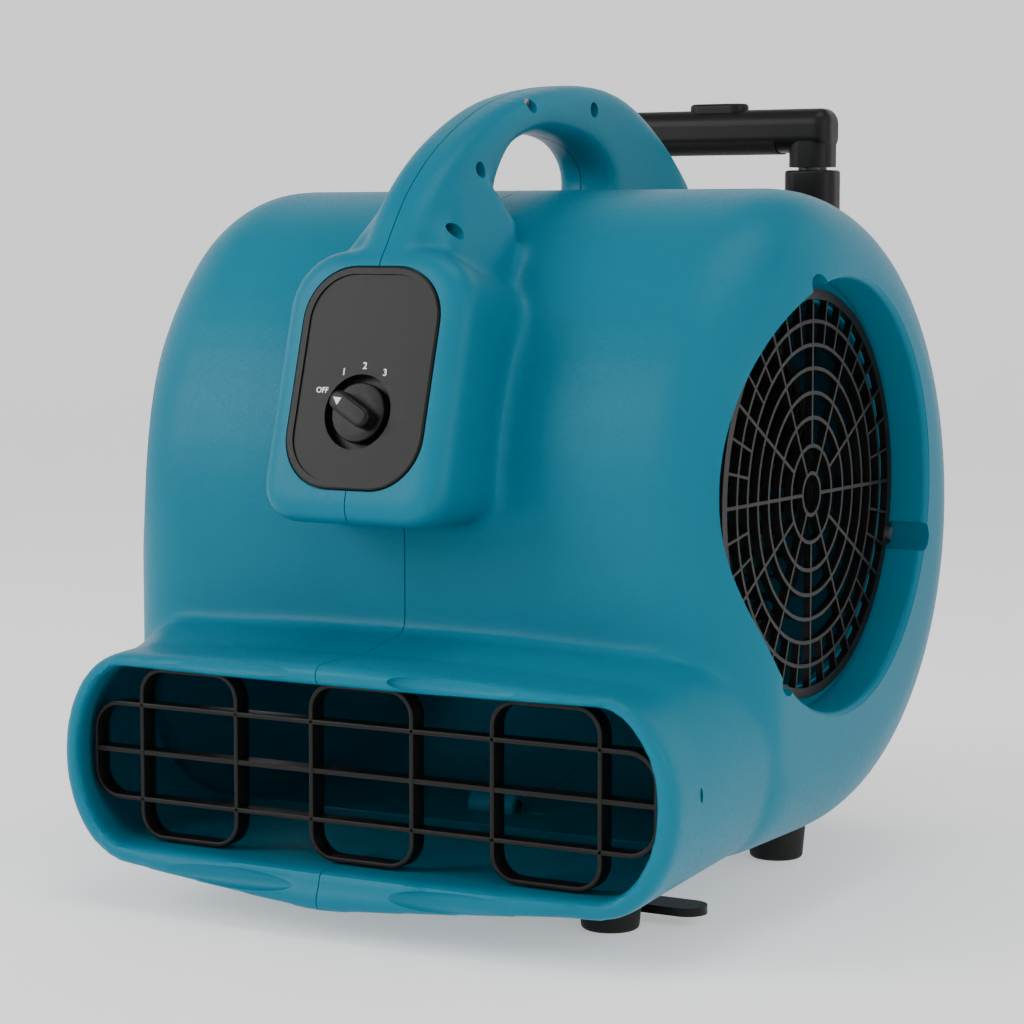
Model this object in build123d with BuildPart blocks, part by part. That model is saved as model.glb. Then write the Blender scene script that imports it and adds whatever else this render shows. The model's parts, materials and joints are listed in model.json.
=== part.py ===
from build123d import *
from math import cos, radians, sin
import os

os.makedirs("parts", exist_ok=True)

# Air mover: a two-half moulded scroll housing with a wide flat outlet at the front (-Y),
# a round inlet on each side (X), a switch pod, a carrying arch and a telescopic rear handle.
# Origin: on the floor under the middle of the whole machine. +Z is up.

# ---------- driving dimensions ----------
SEAM_GAP = 0.5            # visible groove between the two halves, which meet at X = 0
WALL = 3.5                # housing wall

FAN_Y, FAN_Z = -27.0, 243.5
BARREL_HALF = 218.0       # half width of the scroll body
BARREL_ROUND = 56.0       # rounding of the barrel's side edges
FRONT_REACH, REAR_REACH = 140.0, 202.0
BROW_Z, NOSE_R, BASE_Z = 233.5, 70.0, 35.0
SCROLL_RADII = (218.3, 121.7, 187.4, 203.1, 188.6, 193.4)   # eighth turns from the brow back and down

MOUTH_X, MOUTH_Y = 15.0, -263.5   # the outlet sits a little right of the seam
MOUTH_BOW = 1500.0        # plan radius of the lip's front face
MOUTH_HALF, MOUTH_RUN = 190.0, 155.0
MOUTH_Z, MOUTH_H = 92.2, 52.2
LIP_HALF, LIP_Z, LIP_H = 203.0, 90.0, 62.0
THROAT_Y = -115.0         # the nozzle runs back to here

POD_TILT = 15.8           # the control face leans back
POD_Y, POD_Z = -235.6, 230.6
POD_W, POD_H, POD_R = 124.0, 166.0, 24.0
PANEL_W, PANEL_H, PANEL_R, PANEL_UP = 91.0, 130.0, 32.0, 88.0
PANEL_T = 3.0
KNOB_UP, KNOB_R, WELL_R, WELL_D = 68.0, 17.5, 22.0, 7.0
KNOB_REST = 60.0          # the pointer rests this far anticlockwise of upright
ARCH_W = 42.0             # width of the carrying arch

RECESS_R = 127.0          # inlet recess in each side
INLET_R = 108.0
GRILLE_X, GRILLE_T = 191.5, 4.5
GRILLE_RINGS = (12.5, 28.6, 45.2, 59.9, 74.3, 88.1, 102.0)
GRILLE_RIM = 118.0
TAB_ANGLES = (106, 232, 344)
TAB_R = 121.0

GUARD_Y, GUARD_DEEP, SLAT = -239.0, 13.0, 3.6
GUARD_LOOPS = (-119.3, 0.0, 119.3)
GUARD_LOOP_W, GUARD_ROW = 67.0, 28.2

FOOT_X, FOOT_Y, FOOT_R = 127.5, (-150.0, 76.0), 19.0

STAND_Y, STAND_Z, STAND_ARM_X = -30.0, 20.0, 70.0
STAND_BAR_Y, STAND_BAR_W, STAND_HALF = -117.0, 24.0, 172.0

TUBE_X, TUBE_Y = 71.0, 249.0
TUBE_R, TUBE_BORE, ROD_R = 12.0, 10.2, 9.9
TUBE_BASE, TUBE_TOP = 72.0, 424.0
GRIP_Z = 467.0
LATCH_Z = 110.0           # locking pins near the rods' lower ends

WHEEL_X, WHEEL_Y, WHEEL_Z, WHEEL_R, WHEEL_W = 78.0, 194.0, 46.0, 40.0, 22.0
AXLE_R = 6.0

MOTOR_R, SHAFT_R = 54.0, 6.35
BLOWER_R, BLADE_R, BLADE_COUNT, BLOWER_HALF = 101.0, 84.0, 36, 150.0

POD_PLANE = Plane(
    origin=(0, POD_Y, POD_Z),
    x_dir=(1, 0, 0),
    z_dir=(0, -cos(radians(POD_TILT)), sin(radians(POD_TILT))),
)
POD_AXIS = Axis(POD_PLANE.origin, POD_PLANE.z_dir)
SIDES = ((-1, "left"), (1, "right"))


def save(builder, name):
    """Label a finished piece and write it as its own node."""
    builder.part.label = name
    export_step(builder.part, f"parts/{name}.step")


def pod_at(height):
    """The control face's plane, raised out of the pod by height."""
    return POD_PLANE.offset(height)


def x_plane(x):
    """A plane across X whose sketch axes are Y and Z."""
    return Plane.YZ.offset(x)


def y_plane(y):
    """A plane across Y whose sketch axes are X and Z, facing the front."""
    return Plane.XZ.offset(-y)


def round_fan(radius, angle):
    """A point round the fan axis, as Y and Z."""
    return (FAN_Y + radius * cos(radians(angle)), FAN_Z + radius * sin(radians(angle)))


def scroll_face(inset):
    """The scroll's side profile, a chain of tangent arcs, inset by the wall."""
    front, base = FAN_Y - FRONT_REACH + inset, BASE_Z + inset
    with BuildSketch() as face:
        with BuildLine() as outline:
            rise = Line((front, BASE_Z + NOSE_R), (front, BROW_Z))
            last = rise
            for radius in SCROLL_RADII:
                last = JernArc(last @ 1, last % 1, radius - inset, -45)
            toe = JernArc(rise @ 0, (0, -1), NOSE_R - inset, 90)
            Line(last @ 1, toe @ 1)
        make_face()
    return face.sketch


def mouth_face(centre, half, run, middle, half_h, crown):
    """An outlet outline with elliptical ends, crowned by an arc at the seam."""
    left, right = centre - run, centre + run
    top, low = middle + half_h, middle - half_h
    with BuildSketch() as face:
        with BuildLine():
            if crown:
                ThreePointArc((left, top), (0, top + crown), (right, top))
                ThreePointArc((right, low), (0, low - 1.6 * crown), (left, low))
            else:
                Line((left, top), (right, top))
                Line((right, low), (left, low))
            EllipticalCenterArc((right, middle), half - run, half_h, start_angle=-90, arc_size=180)
            EllipticalCenterArc((left, middle), half - run, half_h, start_angle=90, arc_size=180)
        make_face()
    return face.sketch


def half_barrel(start, inset, rounding):
    """The right side of the barrel, from start outwards, with its outer edge rounded."""
    with BuildPart() as body:
        with BuildSketch(x_plane(start)):
            add(scroll_face(inset))
        extrude(amount=BARREL_HALF - inset - start)
        outer_face = body.faces().filter_by(Axis.X).sort_by(Axis.X)[-1]
        fillet(outer_face.edges(), rounding)
    return body.part


def inlet_cut(radius, start, lobe_at, lobe_r):
    """A round cut into the right side with three lobes for the grille's screw tabs."""
    with BuildPart() as cut:
        with BuildSketch(x_plane(start)):
            with Locations((FAN_Y, FAN_Z)):
                Circle(radius)
            with Locations(*[round_fan(lobe_at, angle) for angle in TAB_ANGLES]):
                Circle(lobe_r)
        extrude(amount=60)
    return cut.part


# ---------- housing: outer and inner forms ----------
with BuildPart() as nozzle_outer:
    with BuildSketch(y_plane(MOUTH_Y)):
        add(mouth_face(MOUTH_X, LIP_HALF, MOUTH_RUN, LIP_Z, LIP_H, 6))
    with BuildSketch(y_plane(-212)):
        add(mouth_face(0.8 * MOUTH_X, 205, 157, LIP_Z + 2, LIP_H - 1, 4))
    with BuildSketch(y_plane(THROAT_Y)):
        add(mouth_face(0, BARREL_HALF - 2, 165, 104, 68, 2))
    loft()

with BuildPart() as nozzle_inner:
    with BuildSketch(y_plane(MOUTH_Y - 1)):
        add(mouth_face(MOUTH_X, MOUTH_HALF, MOUTH_RUN, MOUTH_Z, MOUTH_H, 0))
    with BuildSketch(y_plane(-212)):
        add(mouth_face(0.8 * MOUTH_X, 201, 160, LIP_Z + 2, LIP_H - 5, 0))
    with BuildSketch(y_plane(THROAT_Y + 6)):
        add(mouth_face(0, BARREL_HALF - 8, 162, 101, 60, 0))
    loft()

with BuildPart() as lip_bow:
    with BuildSketch():
        with Locations((0, MOUTH_Y + MOUTH_BOW)):
            Circle(MOUTH_BOW)
    extrude(amount=600)

with BuildPart() as pod_outer:
    with BuildSketch(pod_at(0)):
        with Locations((0, POD_H / 2)):
            RectangleRounded(POD_W, POD_H, POD_R)
    extrude(amount=-135)
    fillet(pod_outer.faces().sort_by(POD_AXIS)[-1].edges(), 12)

with BuildPart() as pod_inner:
    with BuildSketch(pod_at(-WALL - 3)):
        with Locations((0, POD_H / 2)):
            RectangleRounded(POD_W - 2 * WALL, POD_H - 2 * WALL, POD_R - WALL)
    extrude(amount=-46)

with BuildPart() as arch:
    with BuildSketch(x_plane(-ARCH_W / 2)):
        with BuildLine():
            Spline(
                (-189, 385), (-161, 422), (-120, 453), (-60, 478), (20, 489.5), (85, 486), (143, 463), (186, 434)
            )
            Polyline((186, 434), (190, 300), (150, 270), (-100, 350), (-189, 385))
        make_face()
        with BuildLine():
            Polyline((-82, 436), (-84, 412), (36, 412), (42, 438))
            Spline((42, 438), (20, 451), (-27, 456), (-64, 450), (-82, 436))
        make_face(mode=Mode.SUBTRACT)
    extrude(amount=ARCH_W)

# ---------- housing: hollow body, inlets and fixings ----------
PANEL_POCKET = 2.0
FEET = [(x * FOOT_X, y) for x in (-1, 1) for y in FOOT_Y]
FOOT_TOP = 26.0
ARCH_SCREWS = ((-50, 474), (26, 474), (-116, 434), (-160, 398))
BODY_SCREWS = ((-158, 172), (109, 362), (166, 225), (113, 98), (-60, 44))
BOSS_R, SCREW_HEAD_X = 8.0, 13.0
GLAND_AT, GLAND_R = (-130, 225), 9.0


with BuildPart() as seam_bosses:
    with BuildSketch(x_plane(SEAM_GAP / 2)):
        with Locations(*BODY_SCREWS):
            Circle(BOSS_R)
    extrude(amount=16)

with BuildPart() as screw_pockets:
    with BuildSketch(x_plane(SCREW_HEAD_X)):
        with Locations(*ARCH_SCREWS):
            Circle(5)
        with Locations(*BODY_SCREWS):
            Circle(5)
    extrude(amount=ARCH_W / 2 - SCREW_HEAD_X + 1)
    with BuildSketch(x_plane(-12)):
        with Locations(*ARCH_SCREWS):
            Circle(2.1)
        with Locations(*BODY_SCREWS):
            Circle(2.1)
    extrude(amount=SCREW_HEAD_X + 13)

with BuildPart() as foot_posts:
    with BuildSketch(Plane.XY.offset(FOOT_TOP)):
        with Locations(*FEET):
            Circle(FOOT_R + 3)
    extrude(amount=90)

with BuildPart() as panel_seat:
    with BuildSketch(pod_at(1)):
        with Locations((0, PANEL_UP)):
            RectangleRounded(PANEL_W + 0.6, PANEL_H + 0.6, PANEL_R)
    extrude(amount=-1 - PANEL_POCKET)
    with BuildSketch(pod_at(0)):
        with Locations((0, PANEL_UP)):
            RectangleRounded(PANEL_W - 12, PANEL_H - 12, PANEL_R - 6)
    extrude(amount=-20)

recess = inlet_cut(RECESS_R, GRILLE_X, RECESS_R - 1, 9)

with BuildPart() as hollow:
    add(half_barrel(-6, WALL, BARREL_ROUND - 11))
    add(inlet_cut(RECESS_R + WALL, GRILLE_X - WALL, RECESS_R - 1, 9 + WALL), mode=Mode.SUBTRACT)

# Both halves are made on the +X side, and the left one is then mirrored. The nozzle and the
# screw pockets aren't symmetric, so the left half is made from their mirror images.
for side, word in SIDES:
    nozzle, bore, pockets = nozzle_outer.part, nozzle_inner.part, screw_pockets.part
    if side < 0:
        nozzle, bore, pockets = [mirror(form, about=Plane.YZ) for form in (nozzle, bore, pockets)]
    with BuildPart() as half:
        add(half_barrel(SEAM_GAP / 2, 0, BARREL_ROUND))
        add(recess, mode=Mode.SUBTRACT)
        add(hollow.part, mode=Mode.SUBTRACT)
        for form in (pod_outer.part, arch.part, nozzle, foot_posts.part):
            with BuildPart(mode=Mode.PRIVATE) as trimmed:
                add(form)
                with BuildSketch(x_plane(SEAM_GAP / 2)):
                    Rectangle(1200, 1200)
                extrude(amount=400, mode=Mode.INTERSECT)
                add(hollow.part, mode=Mode.SUBTRACT)
                add(recess, mode=Mode.SUBTRACT)
            add(trimmed.part)
        add(lip_bow.part, mode=Mode.INTERSECT)
        for cut in (bore, pod_inner.part, panel_seat.part):
            add(cut, mode=Mode.SUBTRACT)
        add(seam_bosses.part)
        add(pockets, mode=Mode.SUBTRACT)
        if side < 0:
            with BuildSketch(y_plane(REAR_REACH + FAN_Y + 10)):
                with Locations((-GLAND_AT[0], GLAND_AT[1])):
                    Circle(GLAND_R)
            extrude(amount=30, mode=Mode.SUBTRACT)
    with BuildPart() as placed:
        add(half.part if side > 0 else mirror(half.part, about=Plane.YZ, mode=Mode.PRIVATE))
    print("housing", word, round(placed.part.volume / 1000), "cm3, solids", len(placed.part.solids()))
    save(placed, f"housing_{word}")

with BuildPart() as housing_screws:
    for y, z in ARCH_SCREWS + BODY_SCREWS:
        with BuildSketch(x_plane(SCREW_HEAD_X)):
            with Locations((y, z)):
                Circle(4.2)
        extrude(amount=2.6)
        with BuildSketch(x_plane(-12)):
            with Locations((y, z)):
                Circle(2)
        extrude(amount=SCREW_HEAD_X + 12)
        with BuildSketch(x_plane(SCREW_HEAD_X + 2.6)):
            with Locations((y, z)):
                Rectangle(5, 1)
                Rectangle(1, 5)
        extrude(amount=-1.4, mode=Mode.SUBTRACT)
save(housing_screws, "housing_screws")

# ---------- control pod: panel, switch and knob ----------
with BuildPart() as control_panel:
    with BuildSketch(pod_at(-PANEL_POCKET)):
        with Locations((0, PANEL_UP)):
            RectangleRounded(PANEL_W, PANEL_H, PANEL_R)
    extrude(amount=PANEL_T)
    fillet(control_panel.faces().sort_by(POD_AXIS)[-1].edges(), 1.2)
    with BuildSketch(pod_at(-PANEL_POCKET)):
        with Locations((0, PANEL_UP)):
            RectangleRounded(PANEL_W - 13, PANEL_H - 13, PANEL_R - 6.5)
    extrude(amount=-2)
    with BuildSketch(pod_at(PANEL_T - PANEL_POCKET)):
        with Locations((0, PANEL_UP)):
            RectangleRounded(PANEL_W - 9, PANEL_H - 9, PANEL_R - 4.5)
    extrude(amount=-1, mode=Mode.SUBTRACT)
    with BuildSketch(pod_at(-WELL_D - 2)):
        with Locations((0, KNOB_UP)):
            Circle(WELL_R + 2)
    extrude(amount=WELL_D)
    with BuildSketch(pod_at(-WELL_D)):
        with Locations((0, KNOB_UP)):
            Circle(WELL_R)
    extrude(amount=WELL_D + 3, mode=Mode.SUBTRACT)
    with BuildSketch(pod_at(-WELL_D)):
        with Locations((0, KNOB_UP)):
            Circle(5)
    extrude(amount=-3, mode=Mode.SUBTRACT)
save(control_panel, "control_panel")

with BuildPart() as speed_switch:
    with BuildSketch(pod_at(-WELL_D - 2)):
        with Locations((0, KNOB_UP)):
            RectangleRounded(34, 30, 3)
    extrude(amount=-22)
    with BuildSketch(pod_at(-WELL_D - 2)):
        with Locations((0, KNOB_UP)):
            Circle(4.9)
    extrude(amount=4.6)
    with BuildSketch(pod_at(-WELL_D - 24)):
        with Locations((-10, KNOB_UP), (-3.5, KNOB_UP), (3.5, KNOB_UP), (10, KNOB_UP)):
            Rectangle(0.8, 6)
    extrude(amount=-8)
    with BuildSketch(pod_at(-WELL_D - 20)):
        with Locations((0, KNOB_UP)):
            Circle(3.05)
    extrude(amount=30, mode=Mode.SUBTRACT)
save(speed_switch, "speed_switch")

with BuildPart() as switch_nut:
    with BuildSketch(pod_at(-WELL_D)):
        with Locations((0, KNOB_UP)):
            RegularPolygon(8, 6)
            Circle(4.9, mode=Mode.SUBTRACT)
    extrude(amount=2.2)
save(switch_nut, "switch_nut")

with BuildPart() as switch_shaft:
    with BuildSketch(pod_at(-WELL_D - 18)):
        with Locations((0, KNOB_UP)):
            Circle(3)
    extrude(amount=28)
save(switch_shaft, "switch_shaft")

KNOB_BASE = -3.6
with BuildPart() as speed_knob:
    with BuildSketch(pod_at(KNOB_BASE)):
        with Locations((0, KNOB_UP)):
            Circle(KNOB_R)
    extrude(amount=3.6)
    with BuildSketch(pod_at(0)):
        with Locations(Location((0, KNOB_UP), KNOB_REST)):
            SlotOverall(2 * KNOB_R, 13, rotation=90)
    extrude(amount=15, taper=4)
    fillet(speed_knob.faces().sort_by(POD_AXIS)[-1].edges(), 1.5)
    with BuildSketch(pod_at(-WELL_D - 18)):
        with Locations((0, KNOB_UP)):
            Circle(3)
    extrude(amount=28, mode=Mode.SUBTRACT)
save(speed_knob, "speed_knob")

with BuildPart() as knob_pointer:
    with BuildSketch(pod_at(15)):
        with Locations(Location((0, KNOB_UP), KNOB_REST)):
            with Locations((0, 9.4)):
                Triangle(a=7, b=8.5, c=8.5)
    extrude(amount=0.5)
save(knob_pointer, "knob_pointer")

# ---------- outlet guard and inlet grilles ----------
with BuildPart() as outlet_guard:
    with BuildSketch(y_plane(GUARD_Y + GUARD_DEEP)):
        for offset_x in GUARD_LOOPS:
            with Locations((MOUTH_X + offset_x, MOUTH_Z)):
                RectangleRounded(GUARD_LOOP_W + SLAT, 2 * MOUTH_H - 2, 14)
                RectangleRounded(GUARD_LOOP_W - SLAT, 2 * MOUTH_H - 2 - 2 * SLAT, 10.5, mode=Mode.SUBTRACT)
        with Locations((MOUTH_X, MOUTH_Z)):
            RectangleRounded(2 * MOUTH_HALF, 2 * GUARD_ROW + SLAT, 18)
            RectangleRounded(
                2 * (MOUTH_HALF - SLAT), 2 * GUARD_ROW - SLAT, 14.5, mode=Mode.SUBTRACT
            )
            Rectangle(2 * MOUTH_HALF - SLAT, SLAT)
        for offset_x in GUARD_LOOPS:
            for edge in (-1, 1):
                with Locations((MOUTH_X + offset_x + edge * GUARD_LOOP_W / 2, MOUTH_Z)):
                    Rectangle(SLAT, 2 * MOUTH_H - 32)
    extrude(amount=GUARD_DEEP)
save(outlet_guard, "outlet_guard")

for side, word in SIDES:
    with BuildPart() as grille:
        with BuildSketch(x_plane(side * GRILLE_X)):
            for ring in GRILLE_RINGS:
                with BuildSketch(mode=Mode.PRIVATE) as band:
                    with Locations((FAN_Y, FAN_Z)):
                        Circle(ring + 1.1)
                        Circle(ring - 1.1, mode=Mode.SUBTRACT)
                add(band.sketch)
            with BuildSketch(mode=Mode.PRIVATE) as rim:
                with Locations((FAN_Y, FAN_Z)):
                    Circle(GRILLE_RIM + 3)
                with Locations(*[round_fan(TAB_R, angle) for angle in TAB_ANGLES]):
                    Circle(7)
                with Locations((FAN_Y, FAN_Z)):
                    Circle(GRILLE_RIM - 3, mode=Mode.SUBTRACT)
                with Locations(*[round_fan(TAB_R, angle) for angle in TAB_ANGLES]):
                    Circle(2.2, mode=Mode.SUBTRACT)
            add(rim.sketch)
            with Locations((FAN_Y, FAN_Z)):
                with PolarLocations((GRILLE_RINGS[1] + GRILLE_RIM) / 2, 12):
                    Rectangle(GRILLE_RIM - GRILLE_RINGS[1] - 2, 2)
                with PolarLocations((GRILLE_RINGS[0] + GRILLE_RINGS[1]) / 2, 6):
                    Rectangle(GRILLE_RINGS[1] - GRILLE_RINGS[0], 2)
                with PolarLocations((GRILLE_RINGS[5] + GRILLE_RIM) / 2, 36):
                    Rectangle(GRILLE_RIM - GRILLE_RINGS[5] - 2, 1.6)
        extrude(amount=side * GRILLE_T)
    save(grille, f"inlet_grille_{word}")

with BuildPart() as grille_screws:
    for side in (-1, 1):
        with BuildSketch(x_plane(side * (GRILLE_X + GRILLE_T))):
            with Locations(*[round_fan(TAB_R, angle) for angle in TAB_ANGLES]):
                Circle(4)
        extrude(amount=side * 2.4)
        with BuildSketch(x_plane(side * GRILLE_X)):
            with Locations(*[round_fan(TAB_R, angle) for angle in TAB_ANGLES]):
                Circle(2)
        extrude(amount=side * (GRILLE_T + 0.2))
save(grille_screws, "grille_screws")

# ---------- blower: wheel on the motor's shaft ----------
HUB_R, PLATE_X = 16.0, 2.0


def fan_disc(x, length, outer, inner=0):
    """A disc or ring on the fan axis, from x towards +X."""
    with BuildPart() as disc:
        with BuildSketch(x_plane(x)):
            with Locations((FAN_Y, FAN_Z)):
                Circle(outer)
                if inner:
                    Circle(inner, mode=Mode.SUBTRACT)
        extrude(amount=length)
    return disc.part


with BuildPart() as blower_wheel:
    add(fan_disc(PLATE_X, 4, BLOWER_R, HUB_R))
    for x in (-BLOWER_HALF, BLOWER_HALF - 5):
        add(fan_disc(x, 5, BLOWER_R + 1.5, BLOWER_R - 5))
    with BuildSketch(x_plane(-BLOWER_HALF)):
        with Locations((FAN_Y, FAN_Z)):
            with PolarLocations((BLADE_R + BLOWER_R) / 2, BLADE_COUNT):
                Rectangle(BLOWER_R - BLADE_R, 1.6, rotation=32)
    extrude(amount=2 * BLOWER_HALF)
save(blower_wheel, "blower_wheel")

with BuildPart() as wheel_hub:
    add(fan_disc(PLATE_X, 4, HUB_R, SHAFT_R))
    add(fan_disc(PLATE_X + 4, 16, 13, SHAFT_R))
    with BuildSketch(Plane.XY.offset(FAN_Z + 5)):
        with Locations((PLATE_X + 12, FAN_Y)):
            Circle(2.5)
    extrude(amount=12, mode=Mode.SUBTRACT)
save(wheel_hub, "wheel_hub")

with BuildPart() as hub_set_screw:
    with BuildSketch(Plane.XY.offset(FAN_Z + SHAFT_R)):
        with Locations((PLATE_X + 12, FAN_Y)):
            Circle(2.5)
    extrude(amount=6)
save(hub_set_screw, "hub_set_screw")

MOTOR_END, MOTOR_NOSE = -150.0, -16.0    # the motor hangs inside the left half of the wheel
BEARING_R, BEARING_W = 15.0, 9.0
with BuildPart() as motor_shaft:
    add(fan_disc(MOTOR_END + 2, 26 - MOTOR_END - 2, SHAFT_R))
save(motor_shaft, "motor_shaft")

with BuildPart() as rotor_core:
    add(fan_disc(-115, 62, 27, SHAFT_R))
save(rotor_core, "rotor_core")

with BuildPart() as stator_core:
    add(fan_disc(-115, 62, MOTOR_R - 2, 27.8))
save(stator_core, "stator_core")

with BuildPart() as stator_windings:
    for x in (-130, -53):
        add(fan_disc(x, 15, 46, 30))
save(stator_windings, "stator_windings")

with BuildPart() as motor_shell:
    add(fan_disc(-136, 106, MOTOR_R, MOTOR_R - 2))
save(motor_shell, "motor_shell")

BRACKET_X, BRACKET_T = -187.7, 4.0
with BuildPart() as motor_cap_left:
    add(fan_disc(-150, 14, MOTOR_R, 7))
    add(fan_disc(-150, 14, BEARING_R, 0), mode=Mode.SUBTRACT)
    add(fan_disc(-150, 3.5, BEARING_R, 7))
    add(fan_disc(BRACKET_X + BRACKET_T, -150 - BRACKET_X - BRACKET_T, 24, 10))
save(motor_cap_left, "motor_cap_left")

with BuildPart() as motor_cap_right:
    add(fan_disc(-30, 14, MOTOR_R, BEARING_R))
    add(fan_disc(-19.5, 3.5, BEARING_R, 7))
save(motor_cap_right, "motor_cap_right")

with BuildPart() as motor_bearings:
    for x in (-146.5, -28.5):
        add(fan_disc(x, BEARING_W, BEARING_R, 11.5))
        add(fan_disc(x, BEARING_W, 9, SHAFT_R + 0.03))
        add(fan_disc(x + 3.5, 2, 12, 8.6))
save(motor_bearings, "motor_bearings")

with BuildPart() as motor_bolts:
    with BuildSketch(x_plane(-152)):
        with Locations((FAN_Y, FAN_Z)):
            with PolarLocations(49, 4, start_angle=45):
                Circle(3.4)
    extrude(amount=2)
save(motor_bolts, "motor_bolts")

with BuildPart() as motor_bracket:
    with BuildSketch(x_plane(BRACKET_X)):
        with Locations((FAN_Y, FAN_Z)):
            Circle(34)
            with PolarLocations(70, 3, start_angle=90):
                Rectangle(92, 18)
            with PolarLocations(115, 3, start_angle=90):
                Circle(9)
            with PolarLocations(115, 3, start_angle=90):
                Circle(2.2, mode=Mode.SUBTRACT)
            Circle(10, mode=Mode.SUBTRACT)
    extrude(amount=BRACKET_T)
save(motor_bracket, "motor_bracket")

with BuildPart() as bracket_screws:
    with BuildSketch(x_plane(BRACKET_X)):
        with Locations((FAN_Y, FAN_Z)):
            with PolarLocations(115, 3, start_angle=90):
                Circle(2.2)
    extrude(amount=BRACKET_T)
    with BuildSketch(x_plane(BRACKET_X + BRACKET_T)):
        with Locations((FAN_Y, FAN_Z)):
            with PolarLocations(115, 3, start_angle=90):
                Circle(4.5)
    extrude(amount=3)
save(bracket_screws, "bracket_screws")

with BuildPart() as run_capacitor:
    with BuildSketch(x_plane(-34)):
        with Locations((-170, 344)):
            RectangleRounded(24, 34, 5)
    extrude(amount=68)
save(run_capacitor, "run_capacitor")

with BuildPart() as capacitor_strap:
    with BuildSketch(x_plane(-6)):
        with Locations((-170, 344)):
            RectangleRounded(28, 38, 7)
            RectangleRounded(24, 34, 5, mode=Mode.SUBTRACT)
    extrude(amount=12)
save(capacitor_strap, "capacitor_strap")

with BuildPart() as cord_gland:
    rear = REAR_REACH + FAN_Y
    with BuildSketch(y_plane(rear - 12)):
        with Locations(GLAND_AT):
            Circle(GLAND_R)
    extrude(amount=-12)
    with BuildSketch(y_plane(rear)):
        with Locations(GLAND_AT):
            RegularPolygon(13, 6)
    extrude(amount=-6)
    with BuildSketch(y_plane(rear + 6)):
        with Locations(GLAND_AT):
            Circle(10)
    extrude(amount=-14, taper=10)
    with BuildSketch(y_plane(rear - 14)):
        with Locations(GLAND_AT):
            Circle(4.2)
    extrude(amount=-40, mode=Mode.SUBTRACT)
save(cord_gland, "cord_gland")

with BuildPart() as gland_nut:
    with BuildSketch(y_plane(rear - WALL - 6)):
        with Locations(GLAND_AT):
            RegularPolygon(13, 6)
            Circle(GLAND_R, mode=Mode.SUBTRACT)
    extrude(amount=-4.8)
save(gland_nut, "gland_nut")

# ---------- feet and kickstand ----------
for end, y in (("front", FOOT_Y[0]), ("rear", FOOT_Y[1])):
    for side, word in SIDES:
        with BuildPart() as foot:
            with BuildSketch(Plane.XY.offset(FOOT_TOP)):
                with Locations((side * FOOT_X, y)):
                    Circle(FOOT_R)
            extrude(amount=-FOOT_TOP, taper=5)
            fillet(foot.faces().sort_by(Axis.Z)[0].edges(), 3)
            with BuildSketch():
                with Locations((side * FOOT_X, y)):
                    Circle(6)
            extrude(amount=8, mode=Mode.SUBTRACT)
        save(foot, f"foot_{end}_{word}")

with BuildPart() as foot_screws:
    for x, y in FEET:
        with BuildSketch(Plane.XY.offset(8)):
            with Locations((x, y)):
                Circle(5)
        extrude(amount=-2.5)
save(foot_screws, "foot_screws")

ARM_W, PIN_R = 18.0, 3.5
with BuildPart() as kickstand:
    with BuildSketch(Plane.XY.offset(6)):
        with Locations((0, STAND_BAR_Y)):
            SlotOverall(2 * STAND_HALF, STAND_BAR_W)
    extrude(amount=5)
    for side in (-1, 1):
        with BuildSketch(x_plane(side * STAND_ARM_X - ARM_W / 2)):
            with Locations(((STAND_BAR_Y + STAND_Y) / 2, 8.5)):
                Rectangle(STAND_Y - STAND_BAR_Y, 5)
            with Locations((STAND_Y, STAND_Z - 4)):
                Rectangle(16, 20)
            with Locations((STAND_Y, STAND_Z)):
                Circle(8)
        extrude(amount=ARM_W)
        with BuildSketch(x_plane(side * STAND_ARM_X - ARM_W / 2 - 1)):
            with Locations((STAND_Y, STAND_Z)):
                Circle(PIN_R + 0.05)
            with Locations((STAND_Y, STAND_Z + 20)):
                Rectangle(30, 24)
        extrude(amount=ARM_W + 2, mode=Mode.SUBTRACT)
save(kickstand, "kickstand")

with BuildPart() as stand_clips:
    for side in (-1, 1):
        for inner in (-1, 1):
            x = side * STAND_ARM_X + inner * (ARM_W / 2 + 4)
            with BuildSketch(x_plane(x - 3)):
                with Locations((STAND_Y, (STAND_Z + BASE_Z - 0.2) / 2)):
                    Rectangle(16, BASE_Z - 0.2 - STAND_Z)
                with Locations((STAND_Y, STAND_Z)):
                    Circle(8)
                    Circle(PIN_R, mode=Mode.SUBTRACT)
            extrude(amount=6)
save(stand_clips, "stand_clips")

with BuildPart() as stand_pins:
    for side in (-1, 1):
        with BuildSketch(x_plane(side * STAND_ARM_X - 17)):
            with Locations((STAND_Y, STAND_Z)):
                Circle(PIN_R)
        extrude(amount=34)
save(stand_pins, "stand_pins")

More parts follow.
